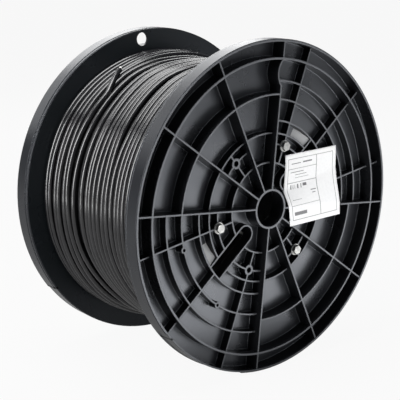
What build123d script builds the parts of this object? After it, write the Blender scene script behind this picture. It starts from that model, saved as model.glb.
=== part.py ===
from build123d import *
from math import cos, radians, sin, sqrt
import os

# Moulded plastic cable reel, full of cable, lying on its two rims. Millimetres, +Z up.
# The origin is on the floor under the middle of the reel, whose axis runs along Y.
# The labelled flange is at -Y. Angles on a flange are seen from that end: 0 is +X and 90 is up.

# Reel as a whole
flange_diameter = 400.0
flange_depth = 22.0
traverse = 198.0
bore_diameter = 43.0
tube_diameter = 218.0
tube_wall = 4.3
winding_diameter = 348.0
fit_gap = 0.3

# Cable as wound: groups of turns in its outer layer, from the labelled end, as shares of the traverse
cable_diameter = 8.0
turn_counts = (9, 7, 2, 4)
first_turn_shares = (0.023, 0.371, 0.694, 0.823)
last_turn_shares = (0.323, 0.606, 0.760, 0.977)
touching_turns_share = 1.1
valley_share = 0.42
layer_share = 0.82

# Walls of a flange moulding
web = 3.0
rim_wall = 3.2
hub_wall = 2.8
ring_wall = 2.6
rib = 2.2
rib_drop = 0.6
low_drop = 8.0
tube_groove_depth = 1.0

# Band, groove and rounded lip round the outside of a rim
band_width = 17.2
groove_width = 1.0
groove_depth = 1.0
lip_drop = 0.5
lip_chamfer = 1.2
rim_edge_chamfer = 0.6

# Shallow relief along part of each rim
relief_depth = 1.2
relief_start_angle = 217.0
relief_end_angle = 257.0

# Round walls, as shares of the way from tube to rim, then of the way from hub to tube
outer_ring_share = 0.763
field_ring_share = 0.328
low_ring_shares = (0.265, 0.496)
barrel_ring_share = 0.811
hub_ring_share = 0.376
bolt_circle_share = 0.651

# Straight walls: two fans of full ribs, with low ribs in the two quadrants between them
fan_start_angles = (84.3, 264.3)
fan_steps = (0, 1, 2, 3)
fan_pitch_angle = 30.0
quadrant_start_angles = (174.3, 354.3)
quadrant_angle = 90.0
boss_angles = (69.3, 129.3, 189.3, 249.3, 309.3, 9.3)
fan_boss_angles = (129.3, 309.3)
long_rib_angles = (69.3, 189.3, 249.3, 9.3)
bow_angle = 84.3
bow_depth = 6.0
bow_shares = (0.43, 0.75)

# Bosses
boss_diameter = 13.0
boss_hole_diameter = 6.6
peg_diameter = 8.0
peg_hole_diameter = 3.6
peg_angles = (193.4, 234.0)

# Slots for the inner end of the cable, each in line with a low rib
slot_angles = (219.3, 39.3)
slot_width = 19.3
slot_start_share = 0.233

# Ramps that rise towards a slot in the pocket beside it: where each starts and which way it turns
ramp_angles = (58.8, 199.8)
ramp_turn_angles = (-90.0, 90.0)
ramp_length = 26.0
ramp_drop = 0.6

# Tie hole through the back flange, beside its rim
tie_hole_diameter = 17.0
tie_hole_angle = 96.4

# Tie bolts and nuts
bolt_angles = (69.3, 189.3, 309.3)
bolt_diameter = 6.0
head_flange_diameter = 14.0
head_flange_height = 1.5
head_across_flats = 10.0
head_height = 5.5
nut_height = 5.0
bolt_end_reach = 1.5

# Paper label, bent where it passes from the low ribs to the full ones
label_width = 87.0
label_height = 86.6
label_paper = 0.3
label_gap = 0.1
label_x = 74.6
label_z = 17.7
label_turn_angle = 1.7
label_bend_top = 18.0
label_bend_foot = 2.0
label_bend_round = 6.0

# How far a cut runs past what it cuts
overrun = 1.0

# Sizes that follow from the ones above
flange_radius = flange_diameter / 2
rim_inner_radius = flange_radius - rim_wall
bore_radius = bore_diameter / 2
hub_radius = bore_radius + hub_wall
tube_radius = tube_diameter / 2
tube_inner_radius = tube_radius - tube_wall
rim_reach = flange_radius - tube_inner_radius
hub_reach = tube_inner_radius - hub_radius
outer_ring_radius = tube_inner_radius + outer_ring_share * rim_reach
field_ring_radius = tube_inner_radius + field_ring_share * rim_reach
low_ring_radii = [tube_inner_radius + share * rim_reach for share in low_ring_shares]
barrel_ring_radius = hub_radius + barrel_ring_share * hub_reach
hub_ring_radius = hub_radius + hub_ring_share * hub_reach
bolt_circle_radius = hub_radius + bolt_circle_share * hub_reach
slot_start_radius = hub_radius + slot_start_share * hub_reach
tie_hole_radius = (outer_ring_radius + ring_wall / 2 + rim_inner_radius) / 2
rib_top = flange_depth - rib_drop
low_top = flange_depth - low_drop
inner_face = traverse / 2


def polar(radius, angle):
    """Point of a flange at a radius and an angle."""
    return (radius * cos(radians(angle)), radius * sin(radians(angle)))


def ring(radius, wall):
    """Plan of a round wall."""
    return Circle(radius + wall / 2) - Circle(radius - wall / 2)


def slice_of(start, angle):
    """Plan of a pie slice that reaches well past the rim."""
    tips = [polar(flange_diameter, start + angle * share) for share in (0, 0.5, 1)]
    return make_face(Polyline((0, 0), *tips, close=True))


def spoke(inner, outer, angle):
    """Plan of a straight wall along a radius."""
    return Pos(*polar((inner + outer) / 2, angle)) * Rot(0, 0, angle) * Rectangle(outer - inner, rib)


def bowed_spoke(angle):
    """Plan of a full rib that bows to one side between two of its radii."""
    near, far = [tube_inner_radius + share * rim_reach for share in bow_shares]
    side = polar(bow_depth, angle + 90)
    middle = polar((near + far) / 2, angle)
    crest = (middle[0] + side[0], middle[1] + side[1])
    bow = ThreePointArc(polar(near, angle), crest, polar(far, angle))
    inner_part = spoke(bore_radius + hub_wall / 2, near + rib / 2, angle)
    outer_part = spoke(far - rib / 2, flange_radius - rim_wall / 2, angle)
    return inner_part + trace(bow, rib) + outer_part


def slots(width, reach):
    """Plan of the cable slots, round towards the hub and cut off at a radius."""
    length = tube_inner_radius - slot_start_radius
    plan = Sketch()
    for angle in slot_angles:
        plan += Pos(*polar(slot_start_radius + length / 2, angle)) * Rot(0, 0, angle) * Rectangle(length, width)
        plan += Pos(*polar(slot_start_radius, angle)) * Circle(width / 2)
    return plan & Circle(reach)


def ramp(angle, turn):
    """Wedge in the pocket beside a slot, rising from the web to just under the slot's wall."""
    rise = low_top - web - ramp_drop
    side = make_face(Polyline((0, 0), (ramp_length, 0), (ramp_length, rise), close=True))
    wedge = extrude(Plane.XZ * side, tube_inner_radius - barrel_ring_radius, both=True)
    middle = (barrel_ring_radius + tube_inner_radius) / 2
    wedge = Pos(*polar(middle, angle), web) * Rot(0, 0, angle + turn) * wedge
    pocket = Circle(tube_inner_radius) - Circle(barrel_ring_radius) - slots(slot_width + rib, tube_radius)
    return wedge & Pos(0, 0, web) * extrude(pocket, rise)


def full_walls():
    """Plan of the walls that reach the outer face."""
    plan = ring(outer_ring_radius, ring_wall) + ring(bore_radius + hub_wall / 2, hub_wall)
    for start in fan_start_angles:
        plan += ring(field_ring_radius, rib) & slice_of(start, fan_pitch_angle * max(fan_steps))
        for step in fan_steps:
            angle = start + fan_pitch_angle * step
            if angle == bow_angle:
                plan += bowed_spoke(angle)
            else:
                plan += spoke(bore_radius + hub_wall / 2, flange_radius - rim_wall / 2, angle)
    return plan


def low_walls():
    """Plan of the walls that stop below the outer face."""
    plan = ring(barrel_ring_radius, rib) + ring(hub_ring_radius, rib)
    for start in quadrant_start_angles:
        for radius in (tube_inner_radius, bolt_circle_radius, *low_ring_radii):
            plan += ring(radius, rib) & slice_of(start, quadrant_angle)
    for angle in fan_boss_angles:
        plan += ring(bolt_circle_radius, rib) & slice_of(angle - fan_pitch_angle / 2, fan_pitch_angle)
        plan += spoke(hub_ring_radius, barrel_ring_radius, angle)
    for angle in long_rib_angles:
        plan += spoke(hub_ring_radius, flange_radius - rim_wall / 2, angle)
    for angle in slot_angles:
        plan += spoke(tube_inner_radius, flange_radius - rim_wall / 2, angle)
    for angle in boss_angles:
        plan += Pos(*polar(bolt_circle_radius, angle)) * Circle(boss_diameter / 2)
    for angle in peg_angles:
        plan += Pos(*polar(low_ring_radii[0], angle)) * Circle(peg_diameter / 2)
    plan += slots(slot_width + 2 * rib, tube_inner_radius)
    return plan - slots(slot_width, tube_inner_radius - rib / 2)


def rim_section():
    """Half section of the rim, with its band, groove and lip."""
    band_foot = flange_depth - band_width
    groove_foot = band_foot - groove_width
    lip_radius = flange_radius - lip_drop
    groove_radius = flange_radius - groove_depth
    outline = Polyline(
        (rim_inner_radius, 0),
        (lip_radius - lip_chamfer, 0),
        (lip_radius, lip_chamfer),
        (lip_radius, groove_foot),
        (groove_radius, groove_foot),
        (groove_radius, band_foot),
        (flange_radius, band_foot),
        (flange_radius, flange_depth - rim_edge_chamfer),
        (flange_radius - rim_edge_chamfer, flange_depth),
        (rim_inner_radius, flange_depth),
        close=True,
    )
    return Plane.XZ * make_face(outline)


def flange():
    """One flange as moulded, cable side down on the XY plane."""
    disc = extrude(Circle(rim_inner_radius + rim_wall / 2) - Circle(bore_radius), web)
    body = disc + revolve(rim_section(), Axis.Z)
    body += Pos(0, 0, web) * extrude(full_walls(), rib_top - web)
    body += Pos(0, 0, web) * extrude(low_walls(), low_top - web)
    for angle, turn in zip(ramp_angles, ramp_turn_angles):
        body += ramp(angle, turn)
    through = slots(slot_width, tube_inner_radius - rib / 2)
    body -= Pos(0, 0, -overrun) * extrude(through, web + 2 * overrun)
    for angle in boss_angles:
        body -= Pos(*polar(bolt_circle_radius, angle), flange_depth / 2) * Cylinder(
            boss_hole_diameter / 2, flange_depth + 2 * overrun
        )
    for angle in peg_angles:
        depth = low_top - web
        body -= Pos(*polar(low_ring_radii[0], angle), web + (depth + overrun) / 2) * Cylinder(
            peg_hole_diameter / 2, depth + overrun
        )
    groove = Circle(tube_radius + fit_gap) - Circle(tube_inner_radius - fit_gap)
    body -= Pos(0, 0, -overrun) * extrude(groove, tube_groove_depth + overrun)
    outside = Circle(flange_radius + overrun) - Circle(flange_radius - relief_depth)
    relief = outside & slice_of(relief_start_angle, relief_end_angle - relief_start_angle)
    band = Pos(0, 0, flange_depth - band_width) * extrude(relief, band_width + overrun)
    return body - band


def front(shape):
    """Put a moulding or its fittings on the labelled end."""
    return Pos(0, -inner_face, flange_radius) * Rot(90, 0, 0) * shape


def hexagon(across_flats, height):
    """Hexagon prism."""
    return extrude(RegularPolygon(across_flats / sqrt(3), 6), height)


def tie_bolt():
    """Flanged hexagon bolt, head down to its seat at zero, shank below."""
    reach = 2 * low_top + traverse + nut_height + bolt_end_reach
    collar = extrude(Circle(head_flange_diameter / 2), head_flange_height)
    head = Pos(0, 0, head_flange_height) * hexagon(head_across_flats, head_height - head_flange_height)
    shank = Pos(0, 0, -reach) * extrude(Circle(bolt_diameter / 2), reach)
    return collar + head + shank


def tie_nut():
    """Flanged nut, seat at zero, with a clear hole for the shank."""
    collar = extrude(Circle(head_flange_diameter / 2), head_flange_height)
    body = Pos(0, 0, head_flange_height) * hexagon(head_across_flats, nut_height - head_flange_height)
    return collar + body - Pos(0, 0, -overrun) * extrude(
        Circle(bolt_diameter / 2 + fit_gap / 2), nut_height + 2 * overrun
    )


def label():
    """Label as pasted on, in the frame of the moulding."""
    low = low_top + label_gap + label_paper / 2
    high = rib_top + label_gap + label_paper / 2
    profile = FilletPolyline(
        (label_height / 2, low),
        (label_bend_top - label_z, low),
        (label_bend_foot - label_z, high),
        (-label_height / 2, high),
        radius=label_bend_round,
    )
    sheet = extrude(Plane.YZ * trace(profile, label_paper), label_width / 2, both=True)
    return Pos(label_x, label_z, 0) * Rot(0, 0, label_turn_angle) * sheet


def tube_between(outer, inner, length):
    """Tube along the reel's axis, in the middle of the reel."""
    return Pos(0, 0, flange_radius) * Rot(90, 0, 0) * extrude(Circle(outer) - Circle(inner), length / 2, both=True)


def winding():
    """Wound cable, turned in one: a ridge for each turn of its outer layer, and the layer below in the gaps."""
    crest = winding_diameter / 2
    valley = crest - valley_share * cable_diameter
    layer_below = crest - layer_share * cable_diameter
    end = traverse / 2 - fit_gap
    turns = []
    for count, first_share, last_share in zip(turn_counts, first_turn_shares, last_turn_shares):
        for number in range(count):
            share = first_share + (last_share - first_share) * number / (count - 1)
            turns.append((share - 0.5) * traverse)
    outline = [(tube_radius + fit_gap, -end), (valley, -end), (crest, turns[0])]
    for before, after in zip(turns, turns[1:]):
        if after - before < touching_turns_share * cable_diameter:
            outline.append((valley, (before + after) / 2))
        else:
            outline += [(layer_below, before + cable_diameter / 2), (layer_below, after - cable_diameter / 2)]
        outline.append((crest, after))
    outline += [(valley, end), (tube_radius + fit_gap, end)]
    return Pos(0, 0, flange_radius) * revolve(make_face(Polyline(*outline, close=True)), Axis.Y)


front_flange = front(flange())
tie_hole = Pos(*polar(tie_hole_radius, tie_hole_angle), 0) * Cylinder(
    tie_hole_diameter / 2, 2 * (web + overrun)
)
back_flange = mirror(front_flange - front(tie_hole), Plane.XZ)

nodes = {
    "flange_front": front_flange,
    "flange_back": back_flange,
    "barrel_tube": tube_between(tube_radius, tube_inner_radius, traverse + 2 * tube_groove_depth),
    "cable_winding": winding(),
    "label": front(label()),
}
for number, angle in enumerate(bolt_angles, start=1):
    seat = Pos(*polar(bolt_circle_radius, angle), low_top) * Rot(0, 0, angle)
    nodes[f"tie_bolt_{number}"] = front(seat * tie_bolt())
    nodes[f"tie_nut_{number}"] = mirror(front(seat * tie_nut()), Plane.XZ)

os.makedirs("parts", exist_ok=True)
for name, shape in nodes.items():
    export_step(shape, f"parts/{name}.step")
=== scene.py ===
import math
import random

import bpy
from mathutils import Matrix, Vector


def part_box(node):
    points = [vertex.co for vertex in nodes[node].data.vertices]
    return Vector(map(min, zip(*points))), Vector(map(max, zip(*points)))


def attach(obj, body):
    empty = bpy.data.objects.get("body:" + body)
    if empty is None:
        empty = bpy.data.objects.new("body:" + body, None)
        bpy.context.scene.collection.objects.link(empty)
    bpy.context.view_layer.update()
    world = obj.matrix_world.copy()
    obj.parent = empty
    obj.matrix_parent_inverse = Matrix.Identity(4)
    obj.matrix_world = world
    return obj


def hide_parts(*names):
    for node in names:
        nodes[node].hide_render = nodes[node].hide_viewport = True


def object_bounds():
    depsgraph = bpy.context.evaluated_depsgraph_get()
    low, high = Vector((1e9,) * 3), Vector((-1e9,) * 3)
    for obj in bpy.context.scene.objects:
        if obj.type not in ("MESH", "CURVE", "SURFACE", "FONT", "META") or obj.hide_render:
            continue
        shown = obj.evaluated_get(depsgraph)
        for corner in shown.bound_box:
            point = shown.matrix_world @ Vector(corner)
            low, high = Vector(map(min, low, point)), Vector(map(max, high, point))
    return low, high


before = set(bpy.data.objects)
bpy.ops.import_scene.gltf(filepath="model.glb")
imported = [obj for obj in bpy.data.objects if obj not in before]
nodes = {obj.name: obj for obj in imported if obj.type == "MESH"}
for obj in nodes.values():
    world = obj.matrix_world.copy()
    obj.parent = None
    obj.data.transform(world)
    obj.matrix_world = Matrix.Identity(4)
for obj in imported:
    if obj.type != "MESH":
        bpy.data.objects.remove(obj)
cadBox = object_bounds()

axisHeight = (cadBox[0][2] + cadBox[1][2]) / 2
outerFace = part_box("flange_front")[0][1]  # printed side of the labelled flange
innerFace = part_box("flange_front")[1][1]  # its cable side
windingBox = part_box("cable_winding")
windingRadius = (windingBox[1][0] - windingBox[0][0]) / 2


def addMesh(name, points, faces, smooth=True):
    mesh = bpy.data.meshes.new(name)
    mesh.from_pydata(points, [], faces)
    mesh.update()
    mesh.polygons.foreach_set("use_smooth", [smooth] * len(mesh.polygons))
    piece = bpy.data.objects.new(name, mesh)
    bpy.context.scene.collection.objects.link(piece)
    return piece


def addPiece(name, points, faces, material, slot):
    piece = addMesh(name, points, faces)
    piece.data.materials.append(material)
    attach(piece, "root")
    return piece


def smoothStep(low, high, value):
    share = min(max((value - low) / (high - low), 0.0), 1.0)
    return share * share * (3 - 2 * share)


class NodeSheet:
    def __init__(self, name):
        self.material = bpy.data.materials.new(name)
        self.material.use_nodes = True
        self.tree = self.material.node_tree
        self.shader = self.tree.nodes["Principled BSDF"]
        self.output = self.tree.nodes["Material Output"]

    def add(self, kind, settings=None, **inputs):
        node = self.tree.nodes.new(kind)
        for key, value in (settings or {}).items():
            setattr(node, key, value)
        for socket, value in inputs.items():
            self.feed(node, socket, value)
        return node

    def feed(self, node, socket, value):
        target = node.inputs[int(socket)] if socket.isdigit() else node.inputs[socket]
        if isinstance(value, bpy.types.NodeSocket):
            self.tree.links.new(value, target)
        else:
            target.default_value = value

    def finish(self, sockets):
        for socket, value in sockets.items():
            self.feed(self.shader, socket, value)
        return self.material

    def math(self, operation, first, second=0.0):
        node = self.add("ShaderNodeMath", {"operation": operation})
        self.feed(node, "0", first)
        self.feed(node, "1", second)
        return node.outputs[0]

    def times(self, first, second):
        return self.math("MULTIPLY", first, second)

    def above(self, value, limit):
        return self.math("GREATER_THAN", value, limit)

    def below(self, value, limit):
        return self.math("LESS_THAN", value, limit)

    def between(self, value, low, high):
        return self.times(self.above(value, low), self.below(value, high))

    def ramp(self, value, low, high, start=0.0, end=1.0):
        node = self.add("ShaderNodeMapRange", {"clamp": True})
        for socket, number in enumerate((value, low, high, start, end)):
            self.feed(node, str(socket), number)
        return node.outputs[0]

    def mix(self, share, first, second):
        node = self.add("ShaderNodeMix", {"data_type": "RGBA"})
        self.feed(node, "0", share)
        for socket, colour in (("6", first), ("7", second)):
            linked = isinstance(colour, bpy.types.NodeSocket)
            self.feed(node, socket, colour if linked else (*colour, 1))
        return node.outputs[2]

    def dot(self, first, second):
        node = self.add("ShaderNodeVectorMath", {"operation": "DOT_PRODUCT"})
        self.feed(node, "0", first)
        self.feed(node, "1", second)
        return node.outputs["Value"]

    def noise(self, scale, detail, vector):
        return self.add("ShaderNodeTexNoise", Scale=scale, Detail=detail, Vector=vector).outputs[0]

    def bevel(self, radius):
        return self.add("ShaderNodeBevel", {"samples": 6}, Radius=radius).outputs[0]

    def place(self):
        return self.add("ShaderNodeTexCoord").outputs["Object"]

    def axes(self, vector):
        return self.add("ShaderNodeSeparateXYZ", Vector=vector).outputs


def reelPlastic():
    look = {
        # wall, floor and inside are one plastic in three tones: painted shade keeps the walls near black,
        # painted light lifts the floors and gives the inner faces a lighter bluish tone
        "wall": (0.0075, 0.0079, 0.009), "floor": (0.018, 0.0193, 0.022), "inside": (0.012, 0.0145, 0.0165),
        # top is a painted highlight on the rib tops, foot a painted highlight line along the wall feet, ramp
        # a painted reflection on sloped faces
        "top": (0.072, 0.074, 0.078), "foot": (0.14, 0.148, 0.16), "ramp": (0.52, 0.525, 0.53),
        "rimStepShade": (0.002, 0.002, 0.0023), "tint": (0.88, 0.92, 1.0),
        "wallGloss": 0.15, "rimGloss": 0.4, "floorGloss": 0.95, "rimStepShadeGloss": 0.1,
        "rough": (0.25, 0.33), "topRough": 0.12, "mottled": 0.6, "paintedTopHighlight": 0.65,
        "cloudScale": 22, "cloudRange": (0.3, 0.7),
        "grainScale": 1400, "grainStrength": 0.12, "grainDepth": 0.0002,
        "floorFrom": 0.1005, "footTo": 0.1035, "topFrom": 0.108,  # along the axis, from the reel's middle
        "rimFrom": 0.197, "edgeRound": 0.0011, "footRound": 0.0024,
        "flatFacing": (0.97, 0.99), "rampFacing": (0.86, 0.96),  # how squarely a face looks along the axis
        "crownLevel": (0.92, 0.993), "footLevel": (0.80, 0.95),
        "rimStepTurns": (-2.440, -2.506), "rimStepShadeHalf": 0.008,  # radians about the axis, front rim and back rim
    }
    sheet = NodeSheet("reel_plastic")
    place = sheet.place()
    spot = sheet.axes(place)
    depth = sheet.math("ABSOLUTE", spot["Y"])
    height = sheet.math("SUBTRACT", spot["Z"], axisHeight)
    spread = sheet.math("ADD", sheet.times(spot["X"], spot["X"]), sheet.times(height, height))
    rimShare = sheet.above(spread, look["rimFrom"] ** 2)
    turn = sheet.math("ARCTAN2", height, spot["X"])
    # painted shade: a thin dark, dull line across each rim where its step begins
    rimStepTurn = sheet.ramp(sheet.above(spot["Y"], 0.0), 0, 1, *look["rimStepTurns"])
    away = sheet.math("ABSOLUTE", sheet.math("SUBTRACT", turn, rimStepTurn))
    rimStepShadeShare = sheet.times(rimShare, sheet.below(away, look["rimStepShadeHalf"]))
    normal = sheet.add("ShaderNodeNewGeometry").outputs["True Normal"]
    facing = sheet.math("ABSOLUTE", sheet.axes(normal)["Y"])
    flat = sheet.ramp(facing, *look["flatFacing"])
    bevel = sheet.bevel(look["edgeRound"])
    level = sheet.dot(bevel, normal)  # 1 away from edges
    footLevel = sheet.dot(sheet.bevel(look["footRound"]), normal)
    cloud = sheet.noise(look["cloudScale"], 4, place)
    grain = sheet.noise(look["grainScale"], 2, place)
    floorShare = sheet.times(flat, sheet.above(depth, look["floorFrom"]))
    topShare = sheet.times(flat, sheet.above(depth, look["topFrom"]))
    insideShare = sheet.times(flat, sheet.below(depth, look["floorFrom"]))
    # painted highlight: a pale line on the floor along the foot of each wall, where the wider bevel bends the
    # normal
    footDepth = sheet.between(depth, look["floorFrom"], look["footTo"])
    footHighlight = sheet.times(sheet.ramp(footLevel, *look["footLevel"], 1.0, 0.0), footDepth)
    # painted light: floors lighter than walls, mottled at random between the wall and floor tones
    floorLightAndMottle = sheet.times(floorShare, sheet.ramp(cloud, *look["cloudRange"], look["mottled"], 1.0))
    # painted highlight: flat rib tops away from their edges take the pale top colour, patchy at random
    crown = sheet.times(topShare, sheet.ramp(level, *look["crownLevel"]))
    paintedTopHighlight = sheet.times(crown, sheet.ramp(cloud, *look["cloudRange"], look["paintedTopHighlight"], 1.0))
    colour = sheet.mix(floorLightAndMottle, look["wall"], look["floor"])
    # painted light: the inner faces take a lighter bluish tone
    colour = sheet.mix(insideShare, colour, look["inside"])
    colour = sheet.mix(paintedTopHighlight, colour, look["top"])
    colour = sheet.mix(footHighlight, colour, look["foot"])
    # painted reflection: faces sloped between the ramp facing limits take a pale grey in place of the bright
    # reflection they catch
    colour = sheet.mix(sheet.between(facing, *look["rampFacing"]), colour, look["ramp"])
    colour = sheet.mix(rimStepShadeShare, colour, look["rimStepShade"])
    outside = sheet.math("MAXIMUM", rimShare, insideShare)
    gloss = sheet.ramp(outside, 0, 1, look["wallGloss"], look["rimGloss"])
    gloss = sheet.math("MAXIMUM", gloss, sheet.times(floorShare, look["floorGloss"]))
    gloss = sheet.times(gloss, sheet.ramp(rimStepShadeShare, 0, 1, 1.0, look["rimStepShadeGloss"]))
    rough = sheet.ramp(cloud, *look["cloudRange"], *look["rough"])
    rough = sheet.math("ADD", rough, sheet.times(topShare, look["topRough"]))
    bump = sheet.add("ShaderNodeBump", Strength=look["grainStrength"], Distance=look["grainDepth"],
                     Height=grain, Normal=bevel)
    return sheet.finish({
        "Base Color": colour, "Roughness": rough, "Specular IOR Level": gloss,
        "Specular Tint": (*look["tint"], 1), "Normal": bump.outputs[0],
    })


def cableJacket(name):
    looks = {
        "cable_jacket": {"jacket": (0.004, 0.004, 0.0046), "rough": (0.17, 0.25), "gloss": 0.65},
        "cable_under": {"jacket": (0.004, 0.004, 0.005), "rough": (0.5, 0.6), "gloss": 0.25},
    }
    skin = {
        "dusty": (0.008, 0.008, 0.009), "cloudScale": 60, "dustRange": (0.45, 0.7),
        "roughRange": (0.3, 0.7), "grainScale": 900, "grainStrength": 0.01, "grainDepth": 0.0002,
    }
    look = looks[name]
    sheet = NodeSheet(name)
    place = sheet.place()
    cloud = sheet.noise(skin["cloudScale"], 3, place)
    grain = sheet.noise(skin["grainScale"], 2, place)
    bump = sheet.add("ShaderNodeBump", Strength=skin["grainStrength"], Distance=skin["grainDepth"],
                     Height=grain)
    return sheet.finish({
        "Base Color": sheet.mix(sheet.ramp(cloud, *skin["dustRange"]), look["jacket"], skin["dusty"]),
        "Roughness": sheet.ramp(cloud, *skin["roughRange"], *look["rough"]),
        "Specular IOR Level": look["gloss"],
        "Normal": bump.outputs[0],
    })


def boltZinc():
    look = {
        "bright": (0.34, 0.34, 0.33), "dull": (0.20, 0.20, 0.20),
        "cloudScale": 260, "dullRange": (0.35, 0.75), "roughRange": (0.3, 0.7), "rough": (0.25, 0.42),
        "edgeRound": 0.0005,
    }
    sheet = NodeSheet("bolt_steel")
    cloud = sheet.noise(look["cloudScale"], 4, sheet.place())
    return sheet.finish({
        "Base Color": sheet.mix(sheet.ramp(cloud, *look["dullRange"]), look["bright"], look["dull"]),
        "Roughness": sheet.ramp(cloud, *look["roughRange"], *look["rough"]),
        "Metallic": 1.0,
        "Normal": sheet.bevel(look["edgeRound"]),
    })


def cutWire():
    look = {
        "bright": (0.80, 0.79, 0.77), "dull": (0.55, 0.54, 0.52), "cloudScale": 900, "dullRange": (0.4, 0.6),
        "rough": 0.5,
    }
    sheet = NodeSheet("cut_wire")
    cloud = sheet.noise(look["cloudScale"], 2, sheet.place())
    return sheet.finish({
        "Base Color": sheet.mix(sheet.ramp(cloud, *look["dullRange"]), look["bright"], look["dull"]),
        "Roughness": look["rough"],
    })


def tubePlastic():
    look = {
        "dark": (0.085, 0.087, 0.092), "soiled": (0.115, 0.116, 0.12),
        "cloudScale": 35, "soilRange": (0.4, 0.7), "roughRange": (0.3, 0.7), "rough": (0.6, 0.75),
        "gloss": 0.2,
    }
    sheet = NodeSheet("barrel_tube")
    cloud = sheet.noise(look["cloudScale"], 4, sheet.place())
    return sheet.finish({
        "Base Color": sheet.mix(sheet.ramp(cloud, *look["soilRange"]), look["dark"], look["soiled"]),
        "Roughness": sheet.ramp(cloud, *look["roughRange"], *look["rough"]),
        "Specular IOR Level": look["gloss"],
    })


def labelPaper():
    look = {
        "paper": (0.86, 0.86, 0.86), "print": (0.06, 0.06, 0.065), "rough": 0.55,
        "ink": {"rules": 0.7, "bars": 0.85}, "fibreScale": 300, "fibreRange": (0.35, 0.65), "fibre": 0.05,
        "rules": (  # left, foot, right and head of each, as shares of the label
            (0.058, 0.072, 0.067, 0.928), (0.930, 0.072, 0.940, 0.928), (0.058, 0.068, 0.940, 0.078),
            (0.058, 0.922, 0.940, 0.931), (0.604, 0.075, 0.617, 0.925), (0.064, 0.779, 0.610, 0.787),
            (0.064, 0.583, 0.610, 0.593), (0.064, 0.274, 0.610, 0.281),
        ),
        "bars": (
            (0.120, 0.850, 0.300, 0.862), (0.340, 0.850, 0.520, 0.870), (0.110, 0.730, 0.360, 0.740),
            (0.200, 0.690, 0.420, 0.698), (0.200, 0.650, 0.460, 0.656), (0.120, 0.500, 0.140, 0.560),
            (0.165, 0.500, 0.175, 0.560), (0.200, 0.500, 0.206, 0.560), (0.245, 0.500, 0.270, 0.560),
            (0.310, 0.500, 0.324, 0.560), (0.350, 0.520, 0.420, 0.560), (0.480, 0.440, 0.580, 0.452),
            (0.500, 0.400, 0.560, 0.412), (0.110, 0.350, 0.280, 0.356), (0.100, 0.135, 0.340, 0.185),
        ),
    }
    sheet = NodeSheet("label_paper")
    along = sheet.axes(sheet.add("ShaderNodeUVMap", {"uv_map": "print"}).outputs[0])
    cloud = sheet.noise(look["fibreScale"], 3, sheet.place())
    ink = sheet.ramp(cloud, *look["fibreRange"], 0.0, look["fibre"])
    for kind, strength in look["ink"].items():
        marks = 0.0
        for left, foot, right, head in look[kind]:
            columns = sheet.between(along["X"], left, right)
            marks = sheet.math("MAXIMUM", marks, sheet.times(columns, sheet.between(along["Y"], foot, head)))
        ink = sheet.math("MAXIMUM", ink, sheet.times(marks, strength))
    return sheet.finish({
        "Base Color": sheet.mix(ink, look["paper"], look["print"]),
        "Roughness": look["rough"],
    })


def labelPoint(paper, across, up, under):
    x, z = (across - 0.5) * paper["width"], (up - 0.5) * paper["height"]
    bend, foot = (left + across * (right - left) for left, right in (paper["bend"], paper["foot"]))
    share = min(max((z - foot) / (bend - foot), 0.0), 1.0)
    share = paper["straight"] * share + (1 - paper["straight"]) * smoothStep(0, 1, share)
    depth = paper["high"] + (paper["low"] - paper["high"]) * share
    bowShare = max(1 - abs(z - paper["bowHeight"]) / paper["bowReach"], 0)
    x -= paper["bow"] * (1 - paper["bowFade"] * across) * bowShare
    turn = math.radians(paper["turn"])
    return (
        paper["middle"][0] + x * math.cos(turn) - z * math.sin(turn),
        outerFace + depth + under,
        axisHeight + paper["middle"][1] + x * math.sin(turn) + z * math.cos(turn),
    )


def pastedLabel(material):
    paper = {
        "width": 0.087, "height": 0.0866, "thick": 0.0003, "middle": (0.0746, 0.0177), "turn": 1.7,
        "low": 0.00775, "high": 0.00035,  # how far under the flange's outer face it lies
        "bend": (0.0, 0.016), "foot": (-0.0185, -0.0270),  # where its slope ends, at its left and right edges
        "straight": 0.8, "bow": 0.0034, "bowHeight": -0.002, "bowReach": 0.032, "bowFade": 0.7,
        "columns": 28, "rows": 44,
    }
    points, shares = [], []
    for under in (0.0, paper["thick"]):
        for row in range(paper["rows"] + 1):
            for column in range(paper["columns"] + 1):
                share = (column / paper["columns"], row / paper["rows"])
                points.append(labelPoint(paper, *share, under))
                shares.append(share)
    stride = paper["columns"] + 1
    back = stride * (paper["rows"] + 1)
    faces = []
    for row in range(paper["rows"]):
        for column in range(paper["columns"]):
            here = row * stride + column
            faces.append((here, here + 1, here + stride + 1, here + stride))
            faces.append((back + here, back + here + stride, back + here + stride + 1, back + here + 1))
    edge = list(range(stride)) + [stride * (row + 1) + stride - 1 for row in range(paper["rows"])]
    edge += [back - 1 - column for column in range(1, stride)]
    edge += [stride * row for row in range(paper["rows"] - 1, 0, -1)]
    for here, following in zip(edge, edge[1:] + edge[:1]):
        faces.append((following, here, back + here, back + following))
    piece = addPiece("label_sheet", points, faces, material, "label_paper")
    printLayer = piece.data.uv_layers.new(name="print")
    for loop in piece.data.loops:
        printLayer.data[loop.index].uv = shares[loop.vertex_index]
    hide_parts("label")


def sweep(path, radius, sides):
    points, faces = [], []
    for index, here in enumerate(path):
        before = path[max(index - 1, 0)]
        after = path[min(index + 1, len(path) - 1)]
        along = (after - before).normalized()
        outward = Vector((here.x, 0, here.z - axisHeight)).normalized()
        across = along.cross(outward).normalized()
        outward = across.cross(along)
        for side in range(sides):
            turn = 2 * math.pi * side / sides
            points.append(here + radius * (math.cos(turn) * outward + math.sin(turn) * across))
    for index in range(len(path) - 1):
        for side in range(sides):
            start = index * sides + side
            other = index * sides + (side + 1) % sides
            faces.append((start, other, other + sides, start + sides))
    faces.append(tuple(range(sides - 1, -1, -1)))
    faces.append(tuple(range(len(points) - sides, len(points))))
    return points, faces


def onWinding(radius, angle, across):
    turn = math.radians(angle)
    return Vector((radius * math.cos(turn), across, axisHeight + radius * math.sin(turn)))


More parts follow.
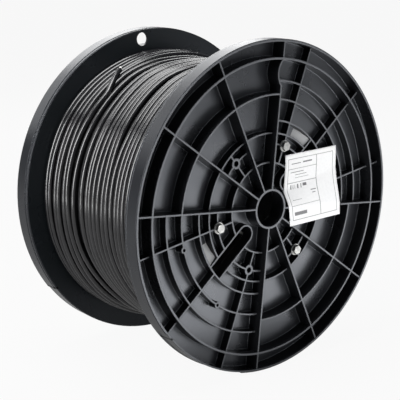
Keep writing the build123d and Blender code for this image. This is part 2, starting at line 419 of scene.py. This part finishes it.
def settle(angle, across):
    form = {  # angles in degrees about the axis, from the right, with 90 at the top
        "swell": 0.0046, "far": (0.050, 0.064), "swells": (110, 152), "sinks": (205, 260),
        "topSink": 0.006, "topLean": 0.009, "topEnds": (88, 122), "topStarts": (340, 410),
        "footSink": 0.004, "footLean": 0.005, "footStarts": (192, 228), "footEnds": (250, 330),
        "wall": (-0.095, -0.055), "farLean": 0.5,
        "parting": -0.0295, "part": 0.0036, "partReach": 0.035,
        "partStarts": (95, 115), "partEnds": (138, 165),
    }
    far = smoothStep(*form["far"], across)
    top = 1 - smoothStep(*form["topEnds"], angle) + smoothStep(*form["topStarts"], angle)
    foot = smoothStep(*form["footStarts"], angle) - smoothStep(*form["footEnds"], angle)
    rise = form["swell"] * far * (smoothStep(*form["swells"], angle) - smoothStep(*form["sinks"], angle))
    rise -= (form["topSink"] * top + form["footSink"] * foot) * (1 - far)
    lean = (form["topLean"] * top + form["footLean"] * foot) * (1 - form["farLean"] * far)
    lean *= smoothStep(*form["wall"], across)
    parted = smoothStep(*form["partStarts"], angle) - smoothStep(*form["partEnds"], angle)
    parted *= 1 - smoothStep(0, form["partReach"], abs(across - form["parting"]))
    return rise, across - lean + math.copysign(form["part"] * parted, across - form["parting"])


def layer(places, radius, steps, seed, drift, lift):
    lay = {"start": 60, "crossFrom": 270, "waves": 3}  # degrees, so that turns step across on the far right
    dice = random.Random(seed)
    waves = [
        [(dice.uniform(0, 2 * math.pi), dice.uniform(-1, 1)) for wave in range(lay["waves"])]
        for place in places
    ]
    path = []
    for number, place in enumerate(places):
        following = places[min(number + 1, len(places) - 1)]
        for step in range(steps):
            passed = 360 * step / steps
            angle = lay["start"] + passed
            share = smoothStep(lay["crossFrom"], 360, passed)
            turn = math.radians(angle)
            swing = 0.0
            for wave, (start, size) in enumerate(waves[number]):
                swing += size * math.sin((wave + 1) * turn + start)
            fade = math.sin(math.pi * step / steps) ** 0.5
            across = place + share * (following - place) + drift * swing * fade
            rise, across = settle(angle, across)
            path.append(onWinding(radius + lift * swing * fade + rise, angle, across))
    return path


def tailRoute(cable):
    route = []
    for start, end in zip(cable["tail"], cable["tail"][1:]):
        for step in range(cable["tailSteps"]):
            share = step / cable["tailSteps"]
            route.append(tuple(a + (b - a) * share for a, b in zip(start, end)))
    route.append(cable["tail"][-1])
    for easing in range(cable["tailPasses"]):
        eased = [
            tuple((a + 2 * b + c) / 4 for a, b, c in zip(*three))
            for three in zip(route, route[1:], route[2:])
        ]
        route = [route[0], *eased, route[-1]]
    return route


def cableWinding(material, underMaterial, coreMaterial):
    cable = {
        "radius": 0.0037, "sides": 12, "steps": 96, "seed": 4, "drift": 0.0007, "lift": 0.0006,
        "groups": (  # first and last place along the axis, and the number of turns
            (-0.0945, -0.0345, 9), (-0.0245, 0.0215, 7), (0.0395, 0.0515, 2), (0.0592, 0.0740, 3),
            (0.0850, 0.0935, 2),
        ),
        "underPitch": 0.008, "underDrop": 1.75, "underSides": 8, "underSteps": 72, "underDrift": 0.0002,
        "tail": (  # degrees about the axis, place along it and lift above the outer layer
            (262, 0.044, -0.008), (225, 0.0465, 0.000), (190, 0.0475, 0.003), (172, 0.0490, 0.004),
            (158, 0.0500, 0.004), (142, 0.0468, 0.004), (132, 0.0432, 0.0042), (125, 0.0530, 0.0052),
            (118.4, 0.0637, 0.0056),
        ),
        "tailSides": 14, "tailSteps": 12, "tailPasses": 6,
        "coreRadius": 0.0022, "coreReach": 0.0045, "coreSides": 12,
    }
    strand = cable["radius"]
    outer = windingRadius - strand
    turns = []
    for first, last, count in cable["groups"]:
        turns += [first + (last - first) * number / (count - 1) for number in range(count)]
    path = layer(turns, outer, cable["steps"], cable["seed"], cable["drift"], cable["lift"])
    piece = addPiece("cable_outer_layer", *sweep(path, strand, cable["sides"]), material, "cable_jacket")
    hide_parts("cable_winding")

    pitch = cable["underPitch"]
    count = int((2 * abs(innerFace) - 2 * strand) / pitch) + 1
    low = -pitch * (count - 1) / 2
    turns = [low + pitch * number for number in range(count)]
    under = outer - cable["underDrop"] * strand
    drift = cable["underDrift"]
    path = layer(turns, under, cable["underSteps"], cable["seed"] + 1, drift, drift)
    addPiece("cable_under_layer", *sweep(path, strand, cable["underSides"]), underMaterial, "cable_jacket")

    path = [onWinding(outer + lift, angle, across) for angle, across, lift in tailRoute(cable)]
    addPiece("cable_tail", *sweep(path, strand, cable["tailSides"]), material, "cable_jacket")
    end = path[-1]
    reach = (end - path[-2]).normalized() * cable["coreReach"]
    core = sweep([end - reach, end, end + reach], cable["coreRadius"], cable["coreSides"])
    addPiece("cable_core_end", *core, coreMaterial, "bolt_steel")


def dressNodes(materials):
    for name, node in nodes.items():
        start = next(key for key in materials if name.startswith(key))
        node.data.materials.clear()
        node.data.materials.append(materials[start])


def addPanel(name, place, target, size, glow):
    lamp = bpy.data.lights.new(name, "AREA")
    lamp.shape = "RECTANGLE"
    lamp.size, lamp.size_y = size
    lamp.energy = glow * math.pi * size[0] * size[1]
    panel = bpy.data.objects.new(name, lamp)
    panel.location = place
    panel.rotation_euler = (Vector(target) - Vector(place)).to_track_quat("-Z", "Y").to_euler()
    panel.visible_camera = False
    bpy.context.scene.collection.objects.link(panel)


def addLights():
    middle = (0, 0, axisHeight)
    panels = {  # place, target, size and glow
        "panelOver": ((-0.6, 0.1, 2.2), (-0.6, 0.1, 0), (2.0, 1.2), 9.0),
        "panelBack": ((0.75, 1.77, 1.40), middle, (1.8, 1.3), 4.0),
        "panelSoft": ((-0.73, 1.82, 1.30), middle, (1.2, 1.0), 1.9),
        "panelLeft": ((-2.2, 0.1, 1.0), middle, (1.1, 1.9), 12.5),
        "panelFront": ((0.35, -2.2, 0.65), middle, (1.0, 0.9), 2.9),
        "tableFront": ((0.42, -0.82, 0.004), (0.42, -0.82, 1), (1.1, 1.2), 2.6),
        "tableLeft": ((-1.6, 0.1, 0.004), (-1.6, 0.1, 1), (0.9, 1.0), 8.0),
    }
    airColour = (0.13, 0.137, 0.15)
    for name, (place, target, size, glow) in panels.items():
        addPanel(name, place, target, size, glow)
    world = bpy.data.worlds.new("studio")
    bpy.context.scene.world = world
    world.use_nodes = True
    world.node_tree.nodes["Background"].inputs["Color"].default_value = (*airColour, 1)


def addFloor():
    ground = {"span": 30, "grey": 0.22, "seen": 0.93, "mirrored": 0.28}  # white share, seen and in gloss
    span = ground["span"]
    corners = [(-span, -span, 0), (span, -span, 0), (span, span, 0), (-span, span, 0)]
    floor = addMesh("floor", corners, [(0, 1, 2, 3)])
    sheet = NodeSheet("floor_white")
    path = sheet.add("ShaderNodeLightPath").outputs
    glow = sheet.add("ShaderNodeEmission", Color=(1, 1, 1, 1), Strength=1.0)
    matt = sheet.add("ShaderNodeBsdfDiffuse", Color=(*[ground["grey"]] * 3, 1))
    blend = sheet.add("ShaderNodeMixShader")
    mirrored = sheet.math("MAXIMUM", path["Is Glossy Ray"], path["Is Transmission Ray"])
    seen = sheet.times(path["Is Camera Ray"], ground["seen"])
    sheet.feed(blend, "0", sheet.math("MAXIMUM", seen, sheet.times(mirrored, ground["mirrored"])))
    sheet.feed(blend, "1", matt.outputs[0])
    sheet.feed(blend, "2", glow.outputs[0])
    sheet.tree.links.new(blend.outputs[0], sheet.output.inputs["Surface"])
    floor.data.materials.append(sheet.material)


def addCamera():
    view = {
        "place": (-0.9187, -1.0802, 0.5128), "turn": -40.137, "tilt": 12.830, "lens": 103.64, "sensor": 36,
    }
    data = bpy.data.cameras.new("camera")
    data.lens = view["lens"]
    data.sensor_width = view["sensor"]
    camera = bpy.data.objects.new("camera", data)
    camera.location = view["place"]
    camera.rotation_euler = (math.radians(90 - view["tilt"]), 0, math.radians(view["turn"]))
    bpy.context.scene.collection.objects.link(camera)
    bpy.context.scene.camera = camera


print("materials")
jacket = cableJacket("cable_jacket")
paper = labelPaper()
dressNodes({
    "flange": reelPlastic(), "barrel_tube": tubePlastic(), "cable_winding": jacket, "label": paper,
    "tie_": boltZinc(),
})
print("cable")
cableWinding(jacket, cableJacket("cable_under"), cutWire())
print("label")
pastedLabel(paper)
print("stage")
addFloor()
addLights()
addCamera()
bpy.context.scene.view_settings.view_transform = "Standard"
